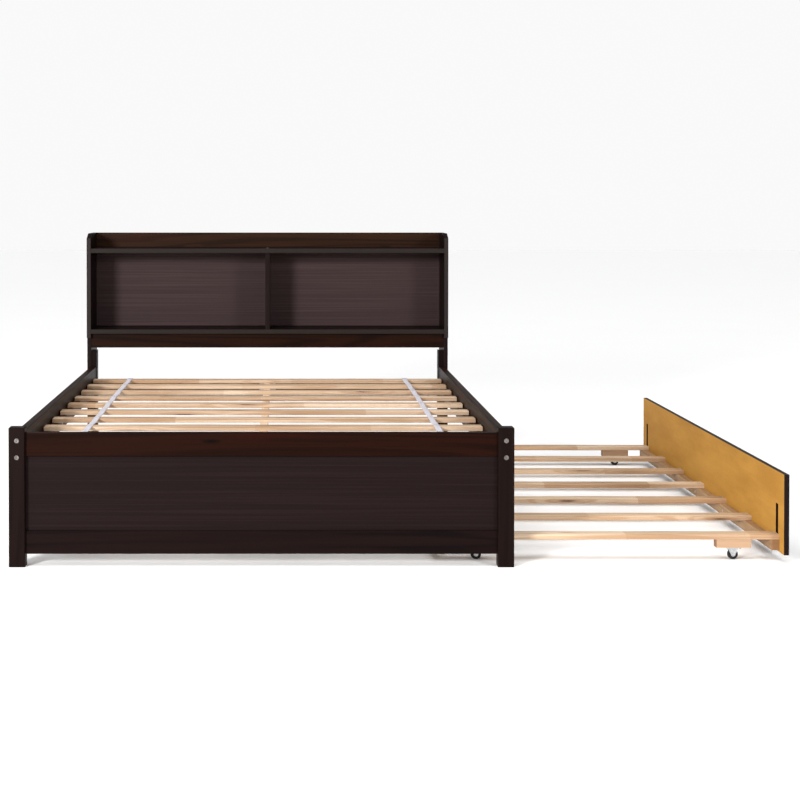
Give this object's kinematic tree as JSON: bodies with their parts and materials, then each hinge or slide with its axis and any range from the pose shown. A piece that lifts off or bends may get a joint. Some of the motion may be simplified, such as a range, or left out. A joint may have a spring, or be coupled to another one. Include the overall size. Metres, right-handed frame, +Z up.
{
  "type": "trundle bed",
  "caption": "Slatted bed with an open bookcase headboard, panelled footboard and a low trundle frame that rolls out from under one side on casters.",
  "frame": {"origin": "middle of the whole outline with the trundle drawn out, on the floor", "axes": "+X is the way the trundle pulls out, +Y runs from the foot to the head, +Z is up"},
  "size_m": [2.237, 2.18, 0.913],
  "materials": {
    "dark_wood": "satin stain on solid wood",
    "dark_panel": "satin laminate with fine grain",
    "dark_shelf": "satin laminate",
    "trundle_panel": "raw board inside, dark laminate outside",
    "pine": "planed, unfinished",
    "webbing": "woven polyester tape",
    "fastener_steel": "nickel plated",
    "zinc_plate": "zinc plated",
    "wheel_plastic": "moulded"
  },
  "bodies": {
    "bed": {"beam_saddles": "zinc_plate", "bed_slat_01": "pine", "bed_slat_02": "pine", "bed_slat_03": "pine", "bed_slat_04": "pine", "bed_slat_05": "pine", "bed_slat_06": "pine", "bed_slat_07": "pine", "bed_slat_08": "pine", "bed_slat_09": "pine", "bed_slat_10": "pine", "bookcase_back": "dark_panel", "bookcase_divider": "dark_shelf", "bookcase_lower_shelf": "dark_shelf", "bookcase_top_shelf": "dark_shelf", "centre_beam": "dark_wood", "foot_bottom_rail": "dark_wood", "foot_panel": "dark_panel", "foot_top_rail": "dark_wood", "frame_bolts": "fastener_steel", "frame_screws": "fastener_steel", "head_cross_rail": "dark_wood", "headboard_apron": "dark_wood", "headboard_top_rail": "dark_wood", "left_foot_post": "dark_wood", "left_head_panel": "dark_wood", "left_leg_block": "dark_wood", "left_side_rail": "dark_wood", "left_slat_cleat": "dark_wood", "left_slat_strap": "webbing", "rail_inserts": "fastener_steel", "right_foot_post": "dark_wood", "right_head_panel": "dark_wood", "right_leg_block": "dark_wood", "right_side_rail": "dark_wood", "right_slat_cleat": "dark_wood", "right_slat_strap": "webbing"},
    "trundle": {"caster_blocks": "pine", "caster_fork_foot_inner": "zinc_plate", "caster_fork_foot_outer": "zinc_plate", "caster_fork_head_inner": "zinc_plate", "caster_fork_head_outer": "zinc_plate", "trundle_front_panel": "trundle_panel", "trundle_front_rail": "pine", "trundle_rear_rail": "pine", "trundle_screws": "fastener_steel", "trundle_slat_1": "pine", "trundle_slat_2": "pine", "trundle_slat_3": "pine", "trundle_slat_4": "pine", "trundle_slat_5": "pine", "trundle_slat_6": "pine", "trundle_slat_7": "pine", "wheel_axles": "zinc_plate"},
    "wheel_foot_inner": {"caster_wheel_foot_inner": "wheel_plastic"},
    "wheel_foot_outer": {"caster_wheel_foot_outer": "wheel_plastic"},
    "wheel_head_inner": {"caster_wheel_head_inner": "wheel_plastic"},
    "wheel_head_outer": {"caster_wheel_head_outer": "wheel_plastic"}
  },
  "joints": [
    {"name": "trundle_slide", "type": "slide", "parent": "bed", "child": "trundle", "axis": [1, 0, 0], "range_m": [-0.797, 0.25]},
    {"name": "foot_inner_wheel_spin", "type": "hinge", "parent": "trundle", "child": "wheel_foot_inner", "pos_m": [0.2245, -0.969, 0.0155], "axis": [0, 1, 0], "continuous": true},
    {"name": "foot_outer_wheel_spin", "type": "hinge", "parent": "trundle", "child": "wheel_foot_outer", "pos_m": [0.9725, -0.969, 0.0155], "axis": [0, 1, 0], "continuous": true},
    {"name": "head_inner_wheel_spin", "type": "hinge", "parent": "trundle", "child": "wheel_head_inner", "pos_m": [0.2245, 0.801, 0.0155], "axis": [0, 1, 0], "continuous": true},
    {"name": "head_outer_wheel_spin", "type": "hinge", "parent": "trundle", "child": "wheel_head_outer", "pos_m": [0.9725, 0.801, 0.0155], "axis": [0, 1, 0], "continuous": true}
  ],
  "couplings": [
    {"joint": "foot_inner_wheel_spin", "follows": "trundle_slide", "rad_per_m": 64.516},
    {"joint": "foot_outer_wheel_spin", "follows": "trundle_slide", "rad_per_m": 64.516},
    {"joint": "head_inner_wheel_spin", "follows": "trundle_slide", "rad_per_m": 64.516},
    {"joint": "head_outer_wheel_spin", "follows": "trundle_slide", "rad_per_m": 64.516}
  ]
}
